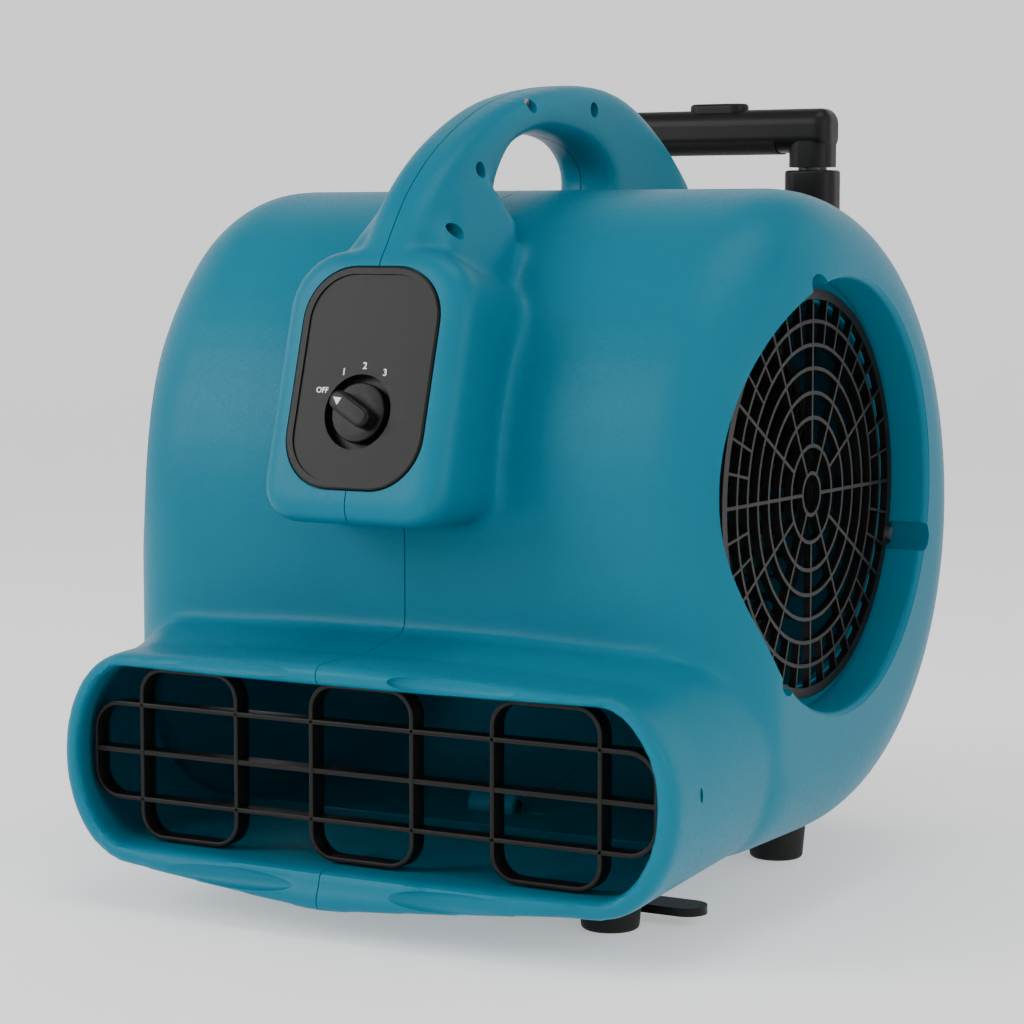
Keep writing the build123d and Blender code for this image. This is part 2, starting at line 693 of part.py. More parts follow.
# ---------- telescopic handle ----------
ROD_TOP = GRIP_Z - 4
for side, word in SIDES:
    with BuildPart() as tube:
        with BuildSketch(Plane.XY.offset(TUBE_BASE)):
            with Locations((side * TUBE_X, TUBE_Y)):
                Circle(TUBE_R)
                Circle(TUBE_BORE, mode=Mode.SUBTRACT)
        extrude(amount=TUBE_TOP - TUBE_BASE)
    save(tube, f"handle_tube_{word}")
    with BuildPart() as rod:
        with BuildSketch(Plane.XY.offset(TUBE_BASE + 8)):
            with Locations((side * TUBE_X, TUBE_Y)):
                Circle(ROD_R)
                Circle(ROD_R - 2, mode=Mode.SUBTRACT)
        extrude(amount=ROD_TOP - TUBE_BASE - 8)
        with BuildSketch(x_plane(side * TUBE_X)):
            with Locations((TUBE_Y, LATCH_Z)):
                Circle(3.1)
        extrude(amount=side * 12, mode=Mode.SUBTRACT)
    save(rod, f"handle_rod_{word}")
    with BuildPart() as collar:
        with BuildSketch(Plane.XY.offset(402)):
            with Locations((side * TUBE_X, TUBE_Y)):
                RectangleRounded(37, 28.8, 12)
        extrude(amount=38)
        fillet(collar.faces().sort_by(Axis.Z)[-1].edges(), 2)
        with BuildSketch(Plane.XY.offset(400)):
            with Locations((side * TUBE_X, TUBE_Y)):
                Circle(TUBE_R)
        extrude(amount=TUBE_TOP - 400, mode=Mode.SUBTRACT)
        with BuildSketch(Plane.XY.offset(TUBE_TOP)):
            with Locations((side * TUBE_X, TUBE_Y)):
                Circle(ROD_R + 0.3)
        extrude(amount=30, mode=Mode.SUBTRACT)
    save(collar, f"handle_collar_{word}")
    with BuildPart() as latch_pin:
        with BuildSketch(x_plane(side * (TUBE_X + 2.5))):
            with Locations((TUBE_Y, LATCH_Z)):
                Circle(3)
        extrude(amount=side * 6.9)
    save(latch_pin, f"latch_pin_{word}")

GRIP_HALF, GRIP_TALL, GRIP_DEEP = 87.0, 30.0, 28.0
with BuildPart() as grip_upper:
    with BuildSketch(x_plane(-GRIP_HALF)):
        with Locations((TUBE_Y, GRIP_Z)):
            RectangleRounded(GRIP_DEEP, GRIP_TALL, 11)
    extrude(amount=2 * GRIP_HALF)
    fillet(grip_upper.faces().filter_by(Axis.X).edges(), 9)
    for side in (-1, 1):
        with BuildSketch(Plane.XY.offset(442)):
            with Locations((side * TUBE_X, TUBE_Y)):
                RectangleRounded(31, GRIP_DEEP - 1, 11)
        extrude(amount=GRIP_Z - 442)
        with BuildSketch(Plane.XY.offset(440)):
            with Locations((side * TUBE_X, TUBE_Y)):
                Circle(ROD_R)
        extrude(amount=ROD_TOP - 440, mode=Mode.SUBTRACT)
    with BuildSketch(Plane.XY.offset(GRIP_Z + GRIP_TALL / 2 - 12)):
        with Locations((0, TUBE_Y)):
            SlotOverall(43.6, 18.6)
    extrude(amount=20, mode=Mode.SUBTRACT)
    with BuildSketch(Plane.XY.offset(GRIP_Z - GRIP_TALL / 2 - 1)):
        with Locations((0, TUBE_Y)):
            Rectangle(96, GRIP_DEEP + 2)
    extrude(amount=9, mode=Mode.SUBTRACT)
save(grip_upper, "grip_upper")

with BuildPart() as grip_pad:
    with BuildSketch(x_plane(-47.8)):
        with Locations((TUBE_Y, GRIP_Z)):
            RectangleRounded(GRIP_DEEP, GRIP_TALL + 2, 11)
    extrude(amount=95.6)
    with BuildSketch(Plane.XY.offset(GRIP_Z - GRIP_TALL / 2 + 8)):
        with Locations((0, TUBE_Y)):
            Rectangle(200, 60)
    extrude(amount=40, mode=Mode.SUBTRACT)
save(grip_pad, "grip_pad")

BUTTON_TOP = GRIP_Z + GRIP_TALL / 2 + 4.5
with BuildPart() as release_button:
    with BuildSketch(Plane.XY.offset(BUTTON_TOP - 11)):
        with Locations((0, TUBE_Y)):
            SlotOverall(43, 18)
    extrude(amount=11)
    fillet(release_button.faces().sort_by(Axis.Z)[-1].edges(), 2.5)
save(release_button, "release_button")

# ---------- rear brackets, axle and wheels ----------
with BuildPart() as bracket_upper:
    with BuildSketch(Plane.XY.offset(325)):
        with Locations((0, 205)):
            Rectangle(176, 116)
        with Locations((0, 216)):
            Rectangle(100, 36, mode=Mode.SUBTRACT)
        with Locations((0, 150)):
            Rectangle(ARCH_W + 0.2, 82, mode=Mode.SUBTRACT)
        with Locations((-TUBE_X, TUBE_Y), (TUBE_X, TUBE_Y)):
            Circle(TUBE_R, mode=Mode.SUBTRACT)
    extrude(amount=30)
    with BuildSketch(x_plane(-150)):
        add(scroll_face(-0.1))
    extrude(amount=300, mode=Mode.SUBTRACT)
save(bracket_upper, "bracket_upper")

with BuildPart() as bracket_lower:
    with BuildSketch(Plane.XY.offset(84)):
        with Locations((0, 170)):
            Rectangle(128, 100)
        with Locations((0, TUBE_Y - 10)):
            Rectangle(176, 48)
        with Locations((-TUBE_X, TUBE_Y), (TUBE_X, TUBE_Y)):
            Circle(TUBE_R, mode=Mode.SUBTRACT)
    extrude(amount=26)
    for x in (-56, 44):
        with BuildSketch(x_plane(x)):
            with Locations((WHEEL_Y, 66)):
                Rectangle(28, 40)
            with Locations((WHEEL_Y, WHEEL_Z)):
                Circle(14)
        extrude(amount=12)
    with BuildSketch(x_plane(-60)):
        with Locations((WHEEL_Y, WHEEL_Z)):
            Circle(AXLE_R)
    extrude(amount=120, mode=Mode.SUBTRACT)
    with BuildSketch(x_plane(-150)):
        add(scroll_face(-0.1))
    extrude(amount=300, mode=Mode.SUBTRACT)
save(bracket_lower, "bracket_lower")

with BuildPart() as bracket_bolts:
    for z, y in ((340, 262), (97, 262)):
        with BuildSketch(y_plane(y + 1)):
            with Locations((-36, z), (36, z)):
                Circle(5)
        extrude(amount=-2.5 if z > 200 else -2)
save(bracket_bolts, "bracket_bolts")

with BuildPart() as wheel_axle:
    with BuildSketch(x_plane(-94)):
        with Locations((WHEEL_Y, WHEEL_Z)):
            Circle(AXLE_R)
    extrude(amount=188)
save(wheel_axle, "wheel_axle")

for side, word in SIDES:
    with BuildPart() as hub:
        with BuildSketch(x_plane(side * WHEEL_X - WHEEL_W / 2)):
            with Locations((WHEEL_Y, WHEEL_Z)):
                Circle(WHEEL_R - 9)
                Circle(AXLE_R + 0.06, mode=Mode.SUBTRACT)
                with PolarLocations(20, 5):
                    Circle(5, mode=Mode.SUBTRACT)
        extrude(amount=WHEEL_W)
    save(hub, f"wheel_hub_{word}")
    with BuildPart() as tyre:
        with BuildSketch(x_plane(side * WHEEL_X - WHEEL_W / 2)):
            with Locations((WHEEL_Y, WHEEL_Z)):
                Circle(WHEEL_R)
                Circle(WHEEL_R - 9, mode=Mode.SUBTRACT)
        extrude(amount=WHEEL_W)
        fillet(tyre.faces().sort_by(SortBy.AREA)[-1].edges(), 5)
    save(tyre, f"wheel_tyre_{word}")

with BuildPart() as axle_caps:
    for side in (-1, 1):
        with BuildSketch(x_plane(side * 90)):
            with Locations((WHEEL_Y, WHEEL_Z)):
                Circle(10)
                Circle(AXLE_R, mode=Mode.SUBTRACT)
        extrude(amount=side * 4)
        with BuildSketch(x_plane(side * 94)):
            with Locations((WHEEL_Y, WHEEL_Z)):
                Circle(10)
        extrude(amount=side * 2)
save(axle_caps, "axle_caps")
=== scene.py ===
# %% [markdown]
# # An air mover
# A carpet dryer: a scroll housing in two moulded halves, a guarded flat outlet, a round inlet
# on each side, a dial pod, a carrying arch and a pull-out handle. The CAD model gives every
# place and every moving part. This script gives the mouldings their soft blends and finishes.

# %% Load the frame
import bpy
import bmesh
import json
import math
from mathutils import Matrix, Vector
from mathutils.geometry import interpolate_bezier


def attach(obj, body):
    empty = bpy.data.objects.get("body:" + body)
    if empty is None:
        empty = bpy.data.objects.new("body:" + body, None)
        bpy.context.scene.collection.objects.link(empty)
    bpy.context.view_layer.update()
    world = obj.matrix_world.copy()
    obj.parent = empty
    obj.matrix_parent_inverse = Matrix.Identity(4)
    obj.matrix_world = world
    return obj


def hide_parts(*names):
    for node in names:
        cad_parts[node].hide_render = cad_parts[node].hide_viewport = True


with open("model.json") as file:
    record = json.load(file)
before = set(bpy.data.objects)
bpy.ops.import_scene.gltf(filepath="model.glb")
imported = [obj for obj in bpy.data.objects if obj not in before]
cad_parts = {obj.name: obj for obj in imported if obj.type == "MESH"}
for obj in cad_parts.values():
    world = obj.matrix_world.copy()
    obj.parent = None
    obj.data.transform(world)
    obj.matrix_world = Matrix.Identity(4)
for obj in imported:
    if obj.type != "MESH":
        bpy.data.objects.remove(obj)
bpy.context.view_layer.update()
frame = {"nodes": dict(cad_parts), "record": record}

# %% [markdown]
# ## Helpers
# A piece is shaped in a bmesh and only becomes an object at the end. Modifiers are evaluated
# and kept as plain mesh, so every object sits at the origin with its place in its mesh.

# %% Mesh helpers
TINY = 1e-6                         # two lengths nearer than this, in metres, are the same


def finished(name, bm):
    """Turn a bmesh into an object whose faces point outwards."""
    bmesh.ops.remove_doubles(bm, verts=bm.verts, dist=TINY)
    bmesh.ops.recalc_face_normals(bm, faces=bm.faces)
    mesh = bpy.data.meshes.new(name)
    bm.to_mesh(mesh)
    bm.free()
    piece = bpy.data.objects.new(name, mesh)
    bpy.context.collection.objects.link(piece)
    return piece


def baked(piece):
    """Keep the result of the piece's modifiers as its mesh."""
    graph = bpy.context.evaluated_depsgraph_get()
    mesh = bpy.data.meshes.new_from_object(piece.evaluated_get(graph))
    piece.modifiers.clear()
    old = piece.data
    piece.data = mesh
    bpy.data.meshes.remove(old)
    return piece


def combine(piece, other, operation, keep=False):
    """Boolean with a helper object, which is removed afterwards unless it is kept."""
    step = piece.modifiers.new("combine", "BOOLEAN")
    step.operation = operation
    step.solver = "MANIFOLD"
    step.object = other
    bpy.context.view_layer.update()
    before = len(piece.data.polygons)
    baked(piece)
    if not keep:
        bpy.data.objects.remove(other)
    print(piece.name, operation, before, "->", len(piece.data.polygons))
    return piece


def copied(name, source):
    """A new object with its own copy of the mesh."""
    piece = bpy.data.objects.new(name, source.data.copy())
    bpy.context.collection.objects.link(piece)
    return piece


def one_skin(pieces, name, voxel, turns):
    """Overlapping solids become one skin, and smoothing rounds every crossing."""
    bm = bmesh.new()
    for piece in pieces:
        bm.from_mesh(piece.data)
        bpy.data.objects.remove(piece)
    skin = finished(name, bm)
    step = skin.modifiers.new("skin", "REMESH")
    step.mode = "VOXEL"
    step.voxel_size = voxel
    step = skin.modifiers.new("soften", "SMOOTH")
    step.iterations = turns
    step.factor = 0.5
    baked(skin)
    print(name, "skin of", len(skin.data.polygons), "faces")
    return skin


def smooth_shaded(piece, angle=27):
    """Shade smooth, but keep edges that turn by more than the angle sharp."""
    piece.data.shade_smooth()
    piece.data.set_sharp_from_angle(angle=math.radians(angle))


def through(points, steps=8, closed=False):
    """Points along a smooth curve through a few given ones."""
    spots = [Vector(p) for p in points]
    count = len(spots)
    run = []
    for i in range(count if closed else count - 1):
        a, b = spots[i], spots[(i + 1) % count]
        before = spots[i - 1] if closed or i else a
        after = spots[(i + 2) % count] if closed or i + 2 < count else b
        part = interpolate_bezier(a, a + (b - before) / 6, b - (after - a) / 6, b, steps + 1)
        run += part[:-1]
    return run if closed else run + [spots[-1]]


def prism(name, points, direction, rounding=0.0, segments=5):
    """A flat outline pushed along a direction, with both rims rounded."""
    bm = bmesh.new()
    ring = [bm.verts.new(p) for p in points]
    face = bm.faces.new(ring)
    base_normal = Vector(direction).normalized()
    out = bmesh.ops.extrude_face_region(bm, geom=[face])
    moved = [g for g in out["geom"] if isinstance(g, bmesh.types.BMVert)]
    bmesh.ops.translate(bm, verts=moved, vec=direction)
    if rounding:
        rims = [e for e in bm.edges if abs((e.verts[0].co - e.verts[1].co).dot(base_normal)) < TINY / 10]
        bmesh.ops.bevel(
            bm, geom=rims, offset=rounding, segments=segments, profile=0.5, affect="EDGES", material=-1
        )
    return finished(name, bm)


def disc(name, centre, radius, start, length, axis="X", segments=96, rounding=0.0):
    """A round slug along X or Z, from start onwards."""
    bm = bmesh.new()
    bmesh.ops.create_cone(
        bm, cap_ends=True, segments=segments, radius1=radius, radius2=radius, depth=length
    )
    if rounding:
        rims = [e for e in bm.edges if abs(e.verts[0].co.z - e.verts[1].co.z) < TINY / 10]
        bmesh.ops.bevel(
            bm, geom=rims, offset=rounding, segments=4, profile=0.5, affect="EDGES", material=-1
        )
    bmesh.ops.translate(bm, verts=bm.verts, vec=(0, 0, length / 2))
    if axis == "X":
        bmesh.ops.rotate(bm, verts=bm.verts, matrix=Matrix.Rotation(math.pi / 2, 3, "Y"))
        place = (start, centre[0], centre[1])
    else:
        place = (centre[0], centre[1], start)
    bmesh.ops.translate(bm, verts=bm.verts, vec=place)
    return finished(name, bm)


def joined(name, pieces):
    """Several helper objects become one, and keep their meshes as they are."""
    bm = bmesh.new()
    for piece in pieces:
        bm.from_mesh(piece.data)
        bpy.data.objects.remove(piece)
    mesh = bpy.data.meshes.new(name)
    bm.to_mesh(mesh)
    bm.free()
    whole = bpy.data.objects.new(name, mesh)
    bpy.context.collection.objects.link(whole)
    return whole


# %% [markdown]
# ## The scroll barrel
# The fan pushes air round a spiral, so the housing is a barrel whose side view is a spiral of
# arcs. A vertex is spun from arc to arc to draw it, and the barrel's wide side edges are
# bevelled, which gives them one even radius all the way round.

# %% Barrel
FAN = (-0.027, 0.2435)              # the fan axis, (y, z)
HALF = 0.218                        # half of the housing's width
SEAM = 0.0003                       # half of the groove between the two halves
FRONT_Y, BROW_Z, BASE_Z, NOSE = -0.167, 0.2335, 0.035, 0.070
SPIRAL = (0.2183, 0.1217, 0.1874, 0.2031, 0.1886, 0.1934)     # one radius for each eighth turn
VOXEL = 0.0029


def arc(bm, tip, centre, angle, steps):
    """Draw an arc in side view from one vertex, and give its last vertex."""
    out = bmesh.ops.spin(
        bm, geom=[tip], cent=centre, axis=(1, 0, 0), angle=angle, steps=steps, dvec=(0, 0, 0)
    )
    return next(g for g in out["geom_last"] if isinstance(g, bmesh.types.BMVert))


def barrel(name, inset, rounding):
    """The scroll as a solid, smaller all round by the inset, with its side edges rounded."""
    bm = bmesh.new()
    front = FRONT_Y + inset
    toe = bm.verts.new((0, front, BASE_Z + NOSE))
    tip = bm.verts.new((0, front, BROW_Z))
    bm.edges.new((toe, tip))
    heading = math.pi / 2
    for radius in SPIRAL:
        side = Vector((0, math.sin(heading), -math.cos(heading)))
        tip = arc(bm, tip, tip.co + (radius - inset) * side, -math.pi / 4, 9)
        heading -= math.pi / 4
    nose = arc(bm, toe, toe.co + Vector((0, NOSE - inset, 0)), math.pi / 2, 9)
    bm.edges.new((tip, nose))
    bmesh.ops.remove_doubles(bm, verts=bm.verts, dist=TINY)
    face = bmesh.ops.contextual_create(bm, geom=bm.edges[:])["faces"][0]
    bmesh.ops.translate(bm, verts=bm.verts, vec=(-(HALF - inset), 0, 0))
    out = bmesh.ops.extrude_face_region(bm, geom=[face])
    moved = [g for g in out["geom"] if isinstance(g, bmesh.types.BMVert)]
    bmesh.ops.translate(bm, verts=moved, vec=(2 * (HALF - inset), 0, 0))
    rims = [e for e in bm.edges if abs(e.verts[0].co.x - e.verts[1].co.x) < TINY / 10]
    bmesh.ops.bevel(
        bm, geom=rims, offset=rounding, segments=12, profile=0.5, affect="EDGES", material=-1
    )
    shape = finished(name, bm)
    low = [min(v.co[i] for v in shape.data.vertices) for i in range(3)]
    high = [max(v.co[i] for v in shape.data.vertices) for i in range(3)]
    print(name, [round(v, 4) for v in low + high])
    return shape


outer_barrel = barrel("outer_barrel", 0.0, 0.056)

# %% [markdown]
# ## Outlet nozzle
# The flat outlet is a wide slot with round ends. Three outlines are bridged from the lip back
# into the barrel. The lip is crowned at the seam and bowed in plan, as moulded lips often are,
# because a long straight edge would look sunken.

# %% Nozzle forms
BOW = 1.5                           # radius of the lip's curve in plan
MOUTH_X, MOUTH_Z, MOUTH_Y = 0.015, 0.0922, -0.2635
NECK_Y = -0.212                     # behind this the nozzle isn't bowed


def slot_ring(bm, y, centre, half, run, middle, half_h, crown, keel):
    """One outlet outline with elliptical ends, as a closed ring of edges.

    It is 2 * half wide, with a flat stretch of 2 * run, and 2 * half_h high about middle. Its
    top rises by crown at the centre, and its bottom drops by keel.
    """
    ring = bmesh.ops.create_circle(bm, cap_ends=False, segments=64, radius=1.0)["verts"]
    for v in ring:
        across, up = v.co.x, v.co.y
        shift = 0.0 if abs(across) < 1e-4 else math.copysign(run, across)
        v.co = Vector((across * (half - run) + shift, y, middle + up * half_h))
    flats = {e for v in ring for e in v.link_edges if e.calc_length() > run * 0.6}
    bmesh.ops.subdivide_edges(bm, edges=list(flats), cuts=14)
    edges = [e for e in bm.edges if max(abs(v.co.y - y) for v in e.verts) < TINY]
    for v in {v for e in edges for v in e.verts}:
        along = min(1.0, abs(v.co.x + centre) / run)
        v.co.z += crown * (1 - along ** 2) if v.co.z > middle else -keel * (1 - along)
        v.co.x += centre
    return edges


def nozzle(name, sections, rim):
    """A solid bridged through outlet outlines, with a rounded front rim, then bowed in plan."""
    bm = bmesh.new()
    rings = [slot_ring(bm, *section) for section in sections]
    for before, after in zip(rings, rings[1:]):
        bmesh.ops.bridge_loops(bm, edges=before + after)
    bmesh.ops.contextual_create(bm, geom=rings[0])
    bmesh.ops.contextual_create(bm, geom=rings[-1])
    if rim:
        bmesh.ops.bevel(
            bm, geom=rings[0], offset=rim, segments=6, profile=0.5, affect="EDGES", material=-1
        )
    for v in bm.verts:
        share = min(1.0, max(0.0, (NECK_Y - v.co.y) / (NECK_Y - MOUTH_Y)))
        v.co.y += share * v.co.x ** 2 / (2 * BOW)
    return finished(name, bm)


# A section's numbers are those of slot_ring, from y to keel.
outer_nozzle = nozzle("outer_nozzle", (
    (MOUTH_Y, MOUTH_X, 0.203, 0.155, 0.090, 0.062, 0.005, 0.013),
    (NECK_Y, 0.012, 0.205, 0.157, 0.092, 0.061, 0.004, 0.010),
    (-0.115, 0.0, 0.216, 0.165, 0.104, 0.068, 0.002, 0.002),
), 0.0075)
bore = nozzle("bore", (
    (MOUTH_Y - 0.012, MOUTH_X, 0.1950, 0.155, MOUTH_Z, 0.0572, 0.0, 0.0),
    (MOUTH_Y, MOUTH_X, 0.1935, 0.155, MOUTH_Z, 0.0557, 0.0, 0.0),
    (MOUTH_Y + 0.0015, MOUTH_X, 0.1918, 0.155, MOUTH_Z, 0.0540, 0.0, 0.0),
    (MOUTH_Y + 0.0045, MOUTH_X, 0.1903, 0.155, MOUTH_Z, 0.0525, 0.0, 0.0),
    (NECK_Y, 0.012, 0.1960, 0.158, 0.0935, 0.0545, 0.0, 0.0),
    (-0.109, 0.0, 0.206, 0.162, 0.101, 0.058, 0.0, 0.0),
), 0.0)
print("nozzle faces", len(outer_nozzle.data.polygons), "bore faces", len(bore.data.polygons))

# %% [markdown]
# ## Control pod and carrying arch
# The pod is a rounded box that leans back, and the arch grows out of its top. A hull fills the
# corner between them, and the remesh turns the three into one flowing form.

# %% Pod, arch and the shoulder between them
TILT = math.radians(15.8)
POD_FRAME = Matrix.Translation((0, -0.2356, 0.2306)) @ Matrix((
    (1, 0, 0, 0),
    (0, math.sin(TILT), -math.cos(TILT), 0),
    (0, math.cos(TILT), math.sin(TILT), 0),
    (0, 0, 0, 1),
))


def on_pod(x, up, out=0.0):
    """A point given across the control face, up it and out of it."""
    return POD_FRAME @ Vector((x, up, out))


def rounded_plate(name, size, centre_up, low, high, corner, rim, top_corner=None, rise=0.0, segments=6):
    """A plate on the control face, with round corners and a rounded front rim."""
    bm = bmesh.new()
    bmesh.ops.create_cube(bm, size=1.0)
    bmesh.ops.scale(bm, verts=bm.verts, vec=(size[0], size[1], high - low))
    for end, radius in ((-1, corner), (1, top_corner or corner)):
        uprights = [
            e for e in bm.edges
            if abs(e.verts[0].co.z - e.verts[1].co.z) > TINY
            and min(end * v.co.y for v in e.verts) > 0.4 * size[1]
            and abs(abs(e.verts[0].co.x) - size[0] / 2) < TINY
        ]
        bmesh.ops.bevel(
            bm, geom=uprights, offset=radius, segments=12, profile=0.5, affect="EDGES", material=-1
        )
    if rim:
        rims = [e for e in bm.edges if min(e.verts[0].co.z, e.verts[1].co.z) > (high - low) / 2 - TINY]
        bmesh.ops.bevel(
            bm, geom=rims, offset=rim, segments=segments, profile=0.5, affect="EDGES", material=-1
        )
    for v in bm.verts:
        v.co.y += rise * ((high - low) / 2 - v.co.z) * max(0.0, -2 * v.co.y / size[1])
    bmesh.ops.translate(bm, verts=bm.verts, vec=(0, centre_up, (low + high) / 2))
    bmesh.ops.transform(bm, verts=bm.verts, matrix=POD_FRAME)
    return finished(name, bm)


pod = rounded_plate("pod", (0.124, 0.164), 0.084, -0.135, 0.0, 0.024, 0.013, 0.036, 0.24)

# %% Arch with its finger window
ARCH_WIDE = 0.0424
arch_top = through([(0, y, z) for y, z in (
    (-0.189, 0.385), (-0.161, 0.422), (-0.120, 0.453), (-0.060, 0.478), (0.020, 0.4895),
    (0.078, 0.484), (0.130, 0.460), (0.168, 0.432),
)])
arch_foot = [Vector((0, y, z)) for y, z in (
    (0.176, 0.418), (0.174, 0.300), (0.140, 0.270), (-0.100, 0.350), (-0.180, 0.350),
)]
arch_side = [p - Vector((ARCH_WIDE / 2, 0, 0)) for p in arch_top + arch_foot]
arch = prism("arch", arch_side, (ARCH_WIDE, 0, 0), 0.013, 6)
window = through([(0, y, z) for y, z in (
    (-0.087, 0.419), (-0.086, 0.431), (-0.066, 0.449), (-0.027, 0.4575), (0.020, 0.452),
    (0.045, 0.437), (0.043, 0.419), (0.010, 0.409), (-0.060, 0.409),
)], closed=True)
# The window is widest at both faces of the arch: (x, wider by, taller by), for each outline.
heart = Vector((0, -0.022, 0.432))
flares = ((-0.0225, 1.20, 1.44), (-0.0180, 1.09, 1.20), (-0.0110, 1.02, 1.05), (-0.0040, 1.0, 1.0))
flares += tuple((-x, wide, tall) for x, wide, tall in reversed(flares))
bm = bmesh.new()
rings = []
for x, wide, tall in flares:
    spots = [(x, heart.y + wide * (p.y - heart.y), heart.z + tall * (p.z - heart.z)) for p in window]
    ring = [bm.verts.new(spot) for spot in spots]
    rings.append([bm.edges.new((ring[i - 1], ring[i])) for i in range(len(ring))])
for before, after in zip(rings, rings[1:]):
    bmesh.ops.bridge_loops(bm, edges=before + after)
bmesh.ops.contextual_create(bm, geom=rings[0])
bmesh.ops.contextual_create(bm, geom=rings[-1])
combine(arch, finished("window", bm), "DIFFERENCE")

# %% Shoulder between the pod and the arch
ON_POD = (
    (0.050, 0.130, -0.016), (0.040, 0.158, -0.016), (0.052, 0.120, -0.060), (0.046, 0.158, -0.070),
)
ON_ARCH = (
    (0.019, -0.168, 0.404), (0.019, -0.140, 0.427), (0.019, -0.112, 0.438), (0.040, -0.100, 0.402),
)
bm = bmesh.new()
for x, up, out in ON_POD:
    for side in (-1, 1):
        bm.verts.new(on_pod(side * x, up, out))
for x, y, z in ON_ARCH:
    for side in (-1, 1):
        bm.verts.new((side * x, y, z))
bmesh.ops.convex_hull(bm, input=bm.verts)
shoulder = finished("shoulder", bm)
print("shoulder faces", len(shoulder.data.polygons))

# %% Foot posts, and one skin over everything
# The front posts are short, because they stop at the duct's floor.
POST_R, POST_FOOT, POST_X = 0.0218, 0.026, 0.1275
POSTS = ((-0.150, 0.015), (0.076, 0.09))     # (y, height) of the front and the rear ones
combine(outer_barrel, bore, "DIFFERENCE", keep=True)
combine(outer_nozzle, bore, "DIFFERENCE")
posts = [
    disc("post", (x, y), POST_R, POST_FOOT, tall, "Z", 48)
    for x in (-POST_X, POST_X) for y, tall in POSTS
]
body = one_skin([outer_barrel, outer_nozzle, pod, arch, shoulder] + posts, "body", VOXEL, 14)

# %% [markdown]
# ## Openings with moulded edges
# The inlet cups and the panel's seat are cut from the finished skin, so that their edges stay
# clean. A cup is a profile spun round the fan's axis, with a flare that rounds the rim.

# %% Cut the cups and the panel seat
TABS = [math.radians(a) for a in (106, 232, 344)]
FLOOR_X, CUP_R, CUP_LOBE = 0.1915, 0.127, 0.009


def turned(name, profile):
    """A solid of revolution round the fan axis, from (x, radius) pairs that start and end at it."""
    bm = bmesh.new()
    spots = [bm.verts.new((x, FAN[0], FAN[1] + radius)) for x, radius in profile]
    edges = [bm.edges.new(pair) for pair in zip(spots, spots[1:])]
    bmesh.ops.spin(
        bm, geom=spots + edges, cent=(0, *FAN), axis=(1, 0, 0), angle=2 * math.pi, steps=128, use_merge=True
    )
    return finished(name, bm)


def cup(side, floor, grow, flare):
    """An inlet cup with three lobes for the grille's tabs, and a mouth that flares a little."""
    radius = CUP_R + grow
    profile = [(floor, 0.0), (floor, radius), (0.2135, radius)]
    if flare:
        profile += [(0.2154, radius + 0.0005), (0.2168, radius + 0.0015), (0.2177, radius + 0.0030)]
    profile += [(0.2600, radius + (0.0036 if flare else 0.0)), (0.2600, 0.0)]
    slug = turned("cup", [(side * x, r) for x, r in profile])
    for angle in TABS:
        at = (FAN[0] + (CUP_R - 0.001) * math.cos(angle), FAN[1] + (CUP_R - 0.001) * math.sin(angle))
        start = floor if side > 0 else -floor - 0.06
        combine(slug, disc("lobe", at, CUP_LOBE + grow, start, 0.06, segments=48), "UNION")
    return slug


for side in (-1, 1):
    combine(body, cup(side, FLOOR_X, 0.0, True), "DIFFERENCE")
PANEL_UP = 0.088                    # the panel's centre, up the control face
seat = rounded_plate("seat", (0.0925, 0.1315), PANEL_UP, -0.0020, 0.02, 0.0325, 0)
combine(body, seat, "DIFFERENCE")

# %% [markdown]
# ## Lens-shaped finger marks on the lip
# The lip's front face has two shallow lenses above the outlet and two below. A flattened
# sphere that only dips into the face cuts each one, which gives it a crisp lens outline.

# %% Cut the lenses
LENS_X, LENS_HALF, LENS_THICK, LENS_OUT = 0.080, 0.049, 0.0056, 0.0018
for side in (-1, 1):
    for z, tall in ((0.1508, 0.0060), (0.0305, 0.0068)):
        bm = bmesh.new()
        bmesh.ops.create_uvsphere(bm, u_segments=48, v_segments=24, radius=1.0)
        bmesh.ops.scale(bm, verts=bm.verts, vec=(LENS_HALF, LENS_THICK, tall))
        x = MOUTH_X + side * LENS_X
        bpy.context.view_layer.update()
        face = body.ray_cast(Vector((x, -0.5, z)), Vector((0, 1, 0)))[1]
        bmesh.ops.translate(bm, verts=bm.verts, vec=(x, face.y - LENS_OUT, z))
        print("lens", side, [round(v, 4) for v in face])
        combine(body, finished("lens", bm), "DIFFERENCE")

# %% [markdown]
# ## Inside, screw pockets and the two halves
# The cavity is the barrel again, smaller by the wall, less the two cups. Screw pockets are plain
# round holes. Last, two big blocks split the moulding at the seam, and the thin gap left
# between the halves is the dark line that runs over the whole machine.

# %% Small dents
DENTS = (                            # (centre, half sizes)
    ((0.024, -0.166, 0.1590), (0.0052, 0.0070, 0.0052)),     # within the wall above the lip
    ((0.206, -0.214, 0.0960), (0.0200, 0.0020, 0.0050)),     # on the right side of the outlet
)
for at, size in DENTS:
    bm = bmesh.new()
    bmesh.ops.create_uvsphere(bm, u_segments=24, v_segments=16, radius=1.0)
    bmesh.ops.scale(bm, verts=bm.verts, vec=size)
    bmesh.ops.translate(bm, verts=bm.verts, vec=at)
    combine(body, finished("pocket", bm), "DIFFERENCE")

